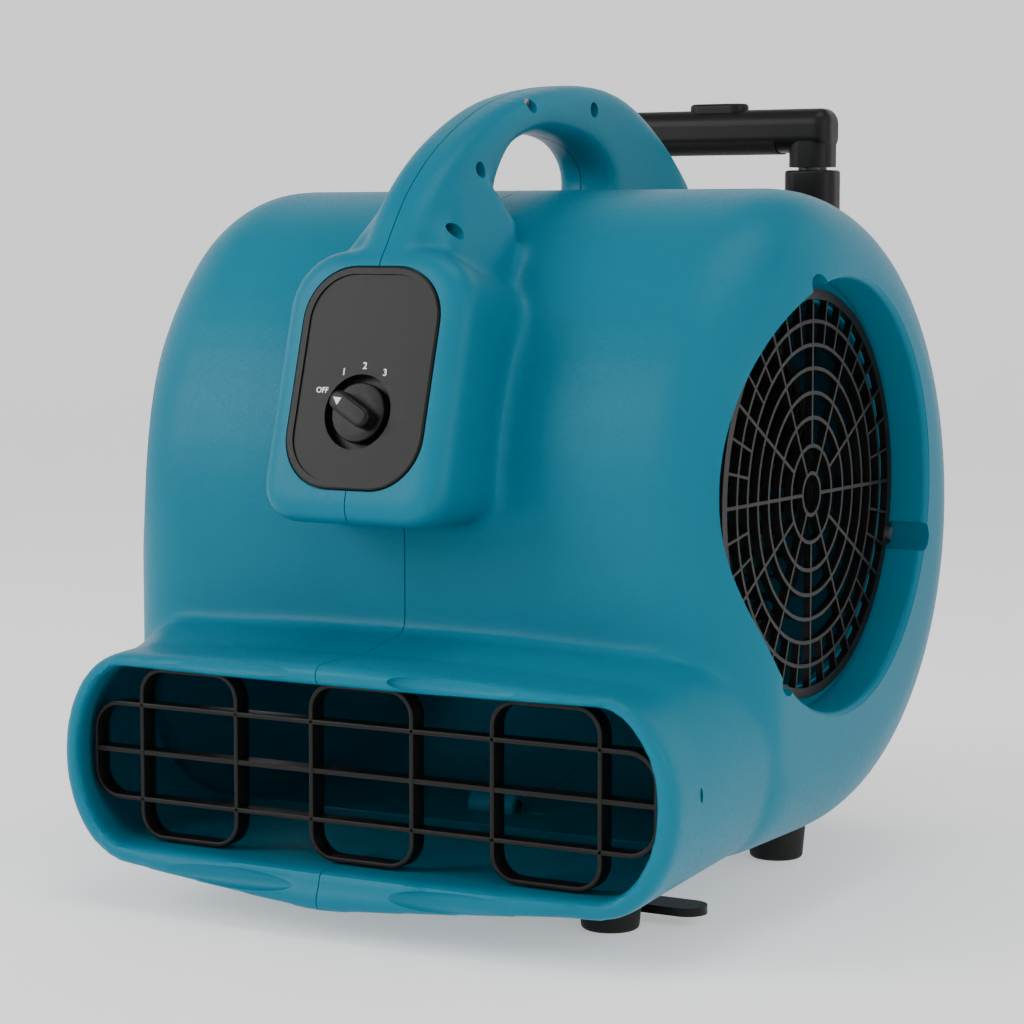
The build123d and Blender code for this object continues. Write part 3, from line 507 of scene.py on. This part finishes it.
# %% Hollow the housing
WALL, INLET_R = 0.0060, 0.1135
cavity = barrel("cavity", WALL, 0.050)
for side in (-1, 1):
    combine(cavity, cup(side, FLOOR_X - 0.0040, 0.0055, False), "DIFFERENCE")
combine(body, cavity, "DIFFERENCE")
for side in (-1, 1):
    start = 0.180 if side > 0 else -0.200
    combine(body, disc("inlet", FAN, INLET_R, start, 0.020), "DIFFERENCE")
well = rounded_plate("well", (0.079, 0.118), PANEL_UP, -0.030, 0.004, 0.026, 0)
combine(body, well, "DIFFERENCE")

# %% Screw bosses and pockets
# Screws are given by (y, z). A seam screw has a boss, and its head sits in a pocket from SEAT_X
# outwards. The arch is solid, so it needs only the pockets.
BOSS_R, BOSS_HALF, SEAT_X, HEAD_R = 0.009, 0.016, 0.013, 0.0050
ARCH_SEAT_X, ARCH_HEAD_R = 0.015, 0.0048
SEAM_SCREWS = ((-0.158, 0.172), (0.109, 0.362), (0.166, 0.225), (0.113, 0.098), (-0.060, 0.044))
ARCH_SCREWS = ((-0.050, 0.474), (0.026, 0.474), (-0.116, 0.434), (-0.160, 0.398))
for at in SEAM_SCREWS:
    boss = disc("boss", at, BOSS_R, -BOSS_HALF, 2 * BOSS_HALF, segments=32, rounding=0.001)
    combine(body, boss, "UNION")
    combine(body, disc("pocket", at, HEAD_R, SEAT_X, 0.02, segments=24), "DIFFERENCE")
for at in ARCH_SCREWS:
    combine(body, disc("pocket", at, ARCH_HEAD_R, ARCH_SEAT_X, 0.06, segments=24), "DIFFERENCE")

# %% Split the halves
def block(name, low, high):
    """A box between two corners."""
    bm = bmesh.new()
    bmesh.ops.create_cube(bm, size=1.0)
    for v in bm.verts:
        v.co = Vector([low[i] if v.co[i] < 0 else high[i] for i in range(3)])
    return finished(name, bm)


halves = []
for side, word in ((-1, "left"), (1, "right")):
    half = copied("shell_" + word, body)
    low = (SEAM, -0.5, -0.1) if side > 0 else (-0.4, -0.5, -0.1)
    high = (0.4, 0.5, 0.7) if side > 0 else (-SEAM, 0.5, 0.7)
    combine(half, block("keep", low, high), "INTERSECT")
    smooth_shaded(half)
    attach(half, "base")
    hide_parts("housing_" + word)
    halves.append(half)
bpy.data.objects.remove(body)
print("halves", [len(h.data.polygons) for h in halves])

# %% [markdown]
# ## Finishes
# Moulded polyethylene has a fine leathery grain and a soft sheen. Each finish mixes noise at
# two scales into its colour and roughness, and a small bump gives the grain.

# %% Finish helper
def finish(name, colour, dark, rough, grain, height, metal=0.0, coat=0.0, patch=9.0, gleam=0.3):
    """A plastic, rubber or metal with cloudy colour, uneven gloss and a fine grain."""
    material = bpy.data.materials.new(name)
    material.use_nodes = True
    tree = material.node_tree
    shader = tree.nodes["Principled BSDF"]
    shader.inputs["Metallic"].default_value = metal
    shader.inputs["Coat Weight"].default_value = coat
    shader.inputs["Specular IOR Level"].default_value = gleam
    where = tree.nodes.new("ShaderNodeTexCoord").outputs["Object"]

    def noise(scale, detail):
        node = tree.nodes.new("ShaderNodeTexNoise")
        node.inputs["Scale"].default_value = scale
        node.inputs["Detail"].default_value = detail
        tree.links.new(where, node.inputs["Vector"])
        return node.outputs["Fac"]

    def ramp(source, low, high, stops):
        node = tree.nodes.new("ShaderNodeValToRGB")
        node.color_ramp.elements[0].position = low
        node.color_ramp.elements[1].position = high
        node.color_ramp.elements[0].color = (*stops[0], 1)
        node.color_ramp.elements[1].color = (*stops[1], 1)
        tree.links.new(source, node.inputs["Fac"])
        return node.outputs["Color"]

    cloud = noise(patch, 4.0)
    tree.links.new(ramp(cloud, 0.35, 0.68, (dark, colour)), shader.inputs["Base Color"])
    fine = noise(grain, 3.0)
    gloss = ramp(fine, 0.3, 0.7, ([rough - 0.06] * 3, [rough + 0.08] * 3))
    tree.links.new(gloss, shader.inputs["Roughness"])
    bump = tree.nodes.new("ShaderNodeBump")
    bump.inputs["Strength"].default_value = 0.35
    bump.inputs["Distance"].default_value = height
    tree.links.new(fine, bump.inputs["Height"])
    tree.links.new(bump.outputs["Normal"], shader.inputs["Normal"])
    return material


# %% Mix the finishes
# Each row holds colour, darker colour, roughness, grain scale and grain height in metres.
RECIPES = {
    "teal_shell": ((0.0, 0.156, 0.234), (0.0, 0.134, 0.206), 0.38, 620, 0.0004),
    "black_plastic": ((0.0065, 0.0058, 0.0053), (0.0045, 0.0040, 0.0036), 0.38, 1400, 0.00008),
    "blower_plastic": ((0.0050, 0.0050, 0.0054), (0.0032, 0.0032, 0.0035), 0.5, 400, 0.0004),
    "white_mark": ((0.85, 0.85, 0.83), (0.78, 0.78, 0.76), 0.5, 900, 0.0001),
    "rubber": ((0.0065, 0.0060, 0.0056), (0.0040, 0.0037, 0.0035), 0.62, 600, 0.0005),
    "tyre": ((0.030, 0.029, 0.028), (0.020, 0.019, 0.018), 0.72, 300, 0.0008),
    "handle_metal": ((0.075, 0.075, 0.078), (0.050, 0.050, 0.052), 0.32, 900, 0.0002),
    "zinc_steel": ((0.34, 0.33, 0.32), (0.24, 0.23, 0.23), 0.33, 500, 0.0003),
    "motor_paint": ((0.030, 0.031, 0.033), (0.022, 0.022, 0.024), 0.36, 250, 0.0006),
    "core_steel": ((0.34, 0.33, 0.32), (0.22, 0.21, 0.20), 0.40, 350, 0.0004),
    "copper": ((0.72, 0.30, 0.14), (0.48, 0.17, 0.07), 0.34, 420, 0.0006),
    "capacitor_case": ((0.050, 0.050, 0.052), (0.036, 0.036, 0.038), 0.46, 350, 0.0003),
}
EXTRAS = {
    "teal_shell": {"patch": 5, "gleam": 0.13},
    "black_plastic": {"gleam": 0.2},
    "motor_paint": {"coat": 0.2},
}
EXTRAS.update({slot: {"metal": 1.0} for slot in ("handle_metal", "zinc_steel", "core_steel", "copper")})
FINISHES = {slot: finish(slot, *recipe, **EXTRAS.get(slot, {})) for slot, recipe in RECIPES.items()}

slot_of = {part["node"]: part["material_slot"] for part in frame["record"]["subparts"]}


def wear(piece, slot):
    """Give every surface of a piece the slot's finish."""
    piece.data.materials.clear()
    piece.data.materials.append(FINISHES[slot])


for node, thing in frame["nodes"].items():
    for material_slot in thing.material_slots:
        material_slot.material = FINISHES[slot_of[node]]
for half in halves:
    wear(half, "teal_shell")
print("finishes", len(FINISHES), "on nodes", len(frame["nodes"]))

# %% [markdown]
# ## Outlet guard
# The guard is moulded from thin deep slats that end in round loops. Each loop is a bevelled
# box without its front and back, given a wall by Solidify in the mesh, and joined to the rest.

# %% Guard
SLAT, SLAT_DEEP, GUARD_Y = 0.0028, 0.0120, -0.2390


def loop(bm_all, x, half_w, half_h, corner):
    """Add one round-cornered loop of slat to the guard."""
    bm = bmesh.new()
    bmesh.ops.create_cube(bm, size=1.0)
    bmesh.ops.scale(bm, verts=bm.verts, vec=(2 * half_w, SLAT_DEEP, 2 * half_h))
    deep = [e for e in bm.edges if abs(e.verts[0].co.y - e.verts[1].co.y) > TINY]
    bmesh.ops.bevel(
        bm, geom=deep, offset=corner, segments=10, profile=0.5, affect="EDGES", material=-1
    )
    ends = [f for f in bm.faces if abs(f.normal.y) > 0.9]
    bmesh.ops.delete(bm, geom=ends, context="FACES_ONLY")
    bmesh.ops.recalc_face_normals(bm, faces=bm.faces)
    bmesh.ops.solidify(bm, geom=bm.faces[:], thickness=SLAT)
    rims = [
        e for e in bm.edges
        if len(e.link_faces) == 2 and e.calc_face_angle(0) > 1.2
        and abs((e.verts[0].co - e.verts[1].co).y) < TINY
    ]
    bmesh.ops.bevel(
        bm, geom=rims, offset=0.0006, segments=2, profile=0.5, affect="EDGES", material=-1
    )
    bmesh.ops.translate(bm, verts=bm.verts, vec=(x, GUARD_Y + SLAT_DEEP / 2, MOUTH_Z))
    part = bpy.data.meshes.new("part")
    bm.to_mesh(part)
    bm.free()
    bm_all.from_mesh(part)
    bpy.data.meshes.remove(part)


guard_bm = bmesh.new()
for offset in (-0.1193, 0.0, 0.1193):
    loop(guard_bm, MOUTH_X + offset, 0.0350, 0.0512, 0.016)
loop(guard_bm, MOUTH_X, 0.1885, 0.0294, 0.018)
bar = bmesh.ops.create_cube(guard_bm, size=1.0)["verts"]
bmesh.ops.scale(guard_bm, verts=bar, vec=(0.3765, SLAT_DEEP, SLAT))
bmesh.ops.translate(guard_bm, verts=bar, vec=(MOUTH_X, GUARD_Y + SLAT_DEEP / 2 + 0.0004, MOUTH_Z))
guard = bpy.data.objects.new("guard_slats", bpy.data.meshes.new("guard_slats"))
bmesh.ops.recalc_face_normals(guard_bm, faces=guard_bm.faces)
guard_bm.to_mesh(guard.data)
guard_bm.free()
bpy.context.collection.objects.link(guard)
smooth_shaded(guard, 30)
wear(guard, "black_plastic")
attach(guard, "base")
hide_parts("outlet_guard")
print("guard faces", len(guard.data.polygons))

# %% [markdown]
# ## Softened rear fittings
# The brackets and collars are moulded too, so no edge on them is knife sharp. Copies of
# their CAD meshes are merged, and a bevel limited by angle rounds only the real corners.

# %% Rounded copies
def rounded_copy(node, width, slot):
    """A copy of a CAD node of the base with its real corners rounded, which stands for the node."""
    source = frame["nodes"][node]
    bm = bmesh.new()
    bm.from_mesh(source.data)
    bmesh.ops.remove_doubles(bm, verts=bm.verts, dist=1e-5)
    bmesh.ops.dissolve_limit(
        bm, angle_limit=math.radians(3), use_dissolve_boundaries=False, verts=bm.verts, edges=bm.edges
    )
    bmesh.ops.recalc_face_normals(bm, faces=bm.faces)
    mesh = bpy.data.meshes.new(node + "_soft")
    bm.to_mesh(mesh)
    bm.free()
    piece = bpy.data.objects.new(node + "_soft", mesh)
    bpy.context.collection.objects.link(piece)
    step = piece.modifiers.new("round", "BEVEL")
    step.width = width
    step.segments = 3
    step.limit_method = "ANGLE"
    step.angle_limit = math.radians(35)
    step.use_clamp_overlap = True
    baked(piece)
    smooth_shaded(piece, 35)
    wear(piece, slot)
    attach(piece, "base")
    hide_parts(node)
    print(piece.name, len(piece.data.polygons))


ROUNDINGS = {
    "bracket_upper": 0.003, "bracket_lower": 0.003,
    "handle_collar_left": 0.002, "handle_collar_right": 0.002,
}
for node, width in ROUNDINGS.items():
    rounded_copy(node, width, "black_plastic")

# %% [markdown]
# ## Speed knob
# The knob is a low disc with a finger bar across it and a white pointer at one end. The bar is
# made upright and then turned to OFF about the knob's own axis, together with its pointer.

# %% Knob
KNOB_UP, KNOB_REST = 0.068, math.radians(60)
knob_centre = on_pod(0, KNOB_UP)
knob_axis = (on_pod(0, 0, 1) - on_pod(0, 0, 0)).normalized()
turn = (
    Matrix.Translation(knob_centre) @ Matrix.Rotation(KNOB_REST, 4, knob_axis)
    @ Matrix.Translation(-knob_centre)
)
bar = rounded_plate("bar", (0.0118, 0.0300), KNOB_UP, -0.0015, 0.0105, 0.0056, 0.0022)
bm = bmesh.new()
bmesh.ops.create_cone(bm, cap_ends=True, segments=72, radius1=0.0175, radius2=0.0172, depth=0.0036)
rims = [e for e in bm.edges if min(e.verts[0].co.z, e.verts[1].co.z) > 0.001]
bmesh.ops.bevel(bm, geom=rims, offset=0.0008, segments=3, profile=0.5, affect="EDGES", material=-1)
bmesh.ops.translate(bm, verts=bm.verts, vec=(0, KNOB_UP, -0.0018))
bmesh.ops.transform(bm, verts=bm.verts, matrix=POD_FRAME)
knob = combine(finished("knob_disc", bm), bar, "UNION")
knob.data.transform(turn)
smooth_shaded(knob, 35)

# %% White pointer on the bar
POINTER_TOP = 0.01055
POINTER = ((-0.0024, 0.0074), (0.0024, 0.0074), (0, 0.0124))
bm = bmesh.new()
tip = [bm.verts.new(on_pod(x, KNOB_UP + up, POINTER_TOP)) for x, up in POINTER]
bmesh.ops.contextual_create(bm, geom=tip)
out = bmesh.ops.extrude_face_region(bm, geom=bm.faces[:])
moved = [g for g in out["geom"] if isinstance(g, bmesh.types.BMVert)]
bmesh.ops.translate(bm, verts=moved, vec=knob_axis * -0.0003)
pointer = finished("pointer", bm)
pointer.data.transform(turn)
for piece, slot, node in ((knob, "black_plastic", "speed_knob"), (pointer, "white_mark", "knob_pointer")):
    wear(piece, slot)
    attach(piece, "knob")
    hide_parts(node)
    print(piece.name, len(piece.data.polygons))

# %% [markdown]
# ## Dial marks
# The printed marks are thin raised letters. Text is filled and turned into a mesh first, and
# only then laid on the leaning panel, so that the object itself stays unturned.

# %% Marks
def mark(word, x, up, size):
    """One printed word or figure, laid on the control face."""
    curve = bpy.data.curves.new("mark", "FONT")
    curve.body = word
    curve.size = size
    curve.extrude = 0.00008
    curve.offset = 0.00009
    curve.align_x = "CENTER"
    curve.align_y = "CENTER"
    piece = bpy.data.objects.new("mark", curve)
    bpy.context.collection.objects.link(piece)
    graph = bpy.context.evaluated_depsgraph_get()
    mesh = bpy.data.meshes.new_from_object(piece.evaluated_get(graph))
    bpy.data.objects.remove(piece)
    mesh.transform(POD_FRAME @ Matrix.Translation((x, up, 0.00012)))
    laid = bpy.data.objects.new("mark_" + word, mesh)
    bpy.context.collection.objects.link(laid)
    return laid


MARKS = (                            # (word, across, up the face, letter size)
    ("OFF", -0.0258, 0.0800, 0.0046),
    ("1", -0.0129, 0.0910, 0.0056),
    ("2", 0.0007, 0.0948, 0.0056),
    ("3", 0.0147, 0.0911, 0.0056),
)
marks = joined("dial_marks", [mark(*row) for row in MARKS])
wear(marks, "white_mark")
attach(marks, "base")
print("mark faces", len(marks.data.polygons))

# %% [markdown]
# ## Camera, light and floor
# Large soft lights stand to the left front, to the right and above, as in a small studio. The
# floor curls up all round like a shallow bowl, so that it is also the backdrop from any side,
# and it glows a little, which keeps it pale.

# %% Camera
AZIMUTH, PITCH = math.radians(29.88), math.radians(5.36)
forward = Vector((
    -math.sin(AZIMUTH) * math.cos(PITCH), math.cos(AZIMUTH) * math.cos(PITCH), -math.sin(PITCH)
))
camera_data = bpy.data.cameras.new("camera")
camera_data.sensor_width = 36
camera_data.lens = 103.9
camera_data.clip_end = 50
camera = bpy.data.objects.new("camera", camera_data)
camera.location = (0.9088, -1.6230, 0.3960)
camera.rotation_euler = forward.to_track_quat("-Z", "Y").to_euler()
bpy.context.collection.objects.link(camera)
bpy.context.scene.camera = camera
print("camera", [round(v, 3) for v in camera.location])


# %% Lights and floor
def softbox(name, place, target, size, watts):
    """A rectangular soft light that points at its target."""
    data = bpy.data.lights.new(name, "AREA")
    data.shape = "RECTANGLE"
    data.size, data.size_y = size
    data.energy = watts
    lamp = bpy.data.objects.new(name, data)
    lamp.location = place
    aim = Vector(target) - Vector(place)
    lamp.rotation_euler = aim.to_track_quat("-Z", "Y").to_euler()
    bpy.context.collection.objects.link(lamp)
    print(name, watts, "W")


softbox("left_box", (-1.9, -2.2, 1.5), (0, 0, 0.25), (1.3, 1.7), 46)
softbox("top_box", (0.3, -0.3, 2.4), (0, 0, 0.3), (1.6, 1.2), 20)
softbox("right_box", (2.6, -0.6, 1.1), (0, 0, 0.25), (0.9, 1.6), 13)
world = bpy.data.worlds.new("world")
world.use_nodes = True
sky = world.node_tree.nodes["Background"]
sky.inputs["Color"].default_value = (1, 1, 1, 1)
sky.inputs["Strength"].default_value = 0.22
bpy.context.scene.world = world

# %% Floor
FLAT_R, CURL = 3.6, 0.35            # the floor is flat out to this radius, and then curls up
bm = bmesh.new()
bmesh.ops.create_grid(bm, x_segments=96, y_segments=96, size=8)
for v in bm.verts:
    beyond = max(0.0, Vector((v.co.x, v.co.y)).length - FLAT_R)
    v.co.z = CURL * beyond ** 2
floor = finished("floor", bm)
floor.data.shade_smooth()
pale = finish("floor_white", (0.92, 0.92, 0.92), (0.90, 0.90, 0.90), 0.8, 30, 0.0001, gleam=0.1)
paint = pale.node_tree.nodes["Principled BSDF"]
paint.inputs["Emission Color"].default_value = (1, 1, 1, 1)
paint.inputs["Emission Strength"].default_value = 0.42
floor.data.materials.append(pale)
print("floor faces", len(floor.data.polygons))
